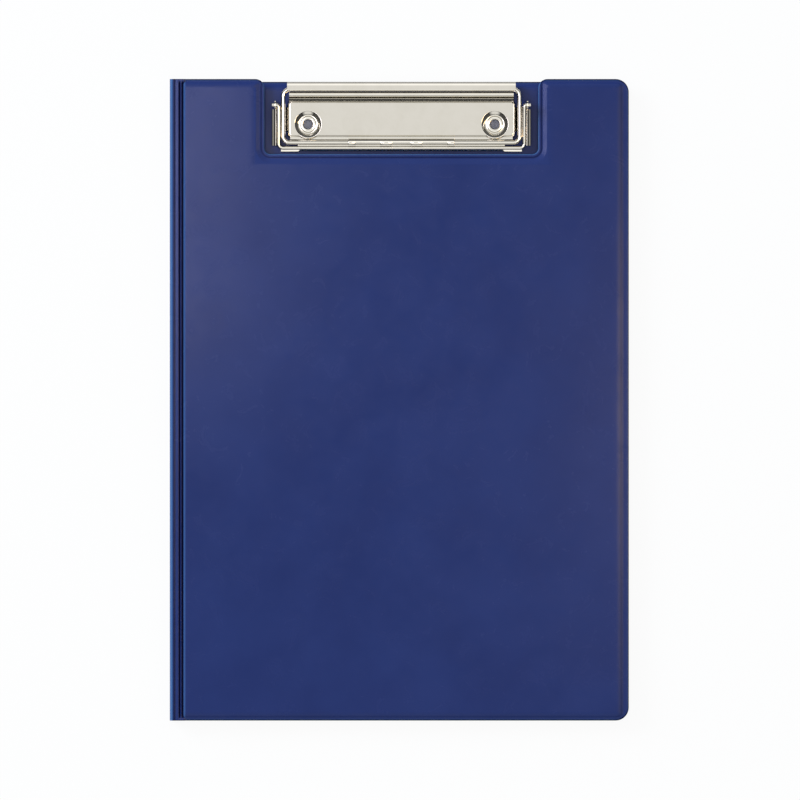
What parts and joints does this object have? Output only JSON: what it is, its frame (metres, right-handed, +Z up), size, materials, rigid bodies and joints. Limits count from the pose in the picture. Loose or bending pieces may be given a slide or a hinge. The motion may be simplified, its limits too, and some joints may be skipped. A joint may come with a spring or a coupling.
{
  "type": "foldover clipboard",
  "caption": "A4 foldover clipboard: stiff back and front cover in welded PVC, joined by a soft spine, with a nickel wire lever clip in a notch.",
  "frame": {"origin": "middle of the folder's footprint, at the level of the surface that its back lies on", "axes": "+X from the spine to the free edge, +Y towards the clip, +Z up through the closed cover"},
  "size_m": [0.229, 0.32, 0.0097],
  "materials": {
    "navy_pvc": "satin",
    "navy_pvc_inner": "satin",
    "greyboard": "matte",
    "nickel_plate": "polished",
    "nickel_wire": "polished"
  },
  "bodies": {
    "back": {"back_board": "greyboard", "back_outer_skin": "navy_pvc", "back_inner_skin": "navy_pvc_inner", "clip_base_plate": "nickel_plate", "rivet_left": "nickel_plate", "rivet_right": "nickel_plate", "rivet_washer_left": "nickel_plate", "rivet_washer_right": "nickel_plate"},
    "spine": {"spine_outer_skin": "navy_pvc", "spine_inner_skin": "navy_pvc_inner"},
    "cover": {"cover_board": "greyboard", "cover_outer_skin": "navy_pvc", "cover_inner_skin": "navy_pvc_inner", "cover_pocket": "navy_pvc_inner"},
    "lever": {"lever_wire": "nickel_wire", "thumb_lip": "nickel_plate"},
    "jaw": {"jaw_wire": "nickel_wire"}
  },
  "joints": [
    {"name": "spine_fold", "type": "hinge", "parent": "back", "child": "spine", "pos_m": [-0.11415, 0, 0.00035], "axis": [0, -1, 0], "range_deg": [0, 180]},
    {"name": "cover_fold", "type": "hinge", "parent": "spine", "child": "cover", "pos_m": [-0.11415, 0, 0.00605], "axis": [0, -1, 0], "range_deg": [0, 180]},
    {"name": "lever_lift", "type": "hinge", "parent": "back", "child": "lever", "pos_m": [0.0011, 0.1284, 0.005], "axis": [1, 0, 0], "range_deg": [0, 90]},
    {"name": "jaw_open", "type": "hinge", "parent": "back", "child": "jaw", "pos_m": [0.0011, 0.147, 0.0075], "axis": [1, 0, 0], "range_deg": [-21.5, 0]}
  ],
  "couplings": [
    {"joint": "jaw_open", "follows": "lever_lift", "ratio": -0.2333}
  ]
}
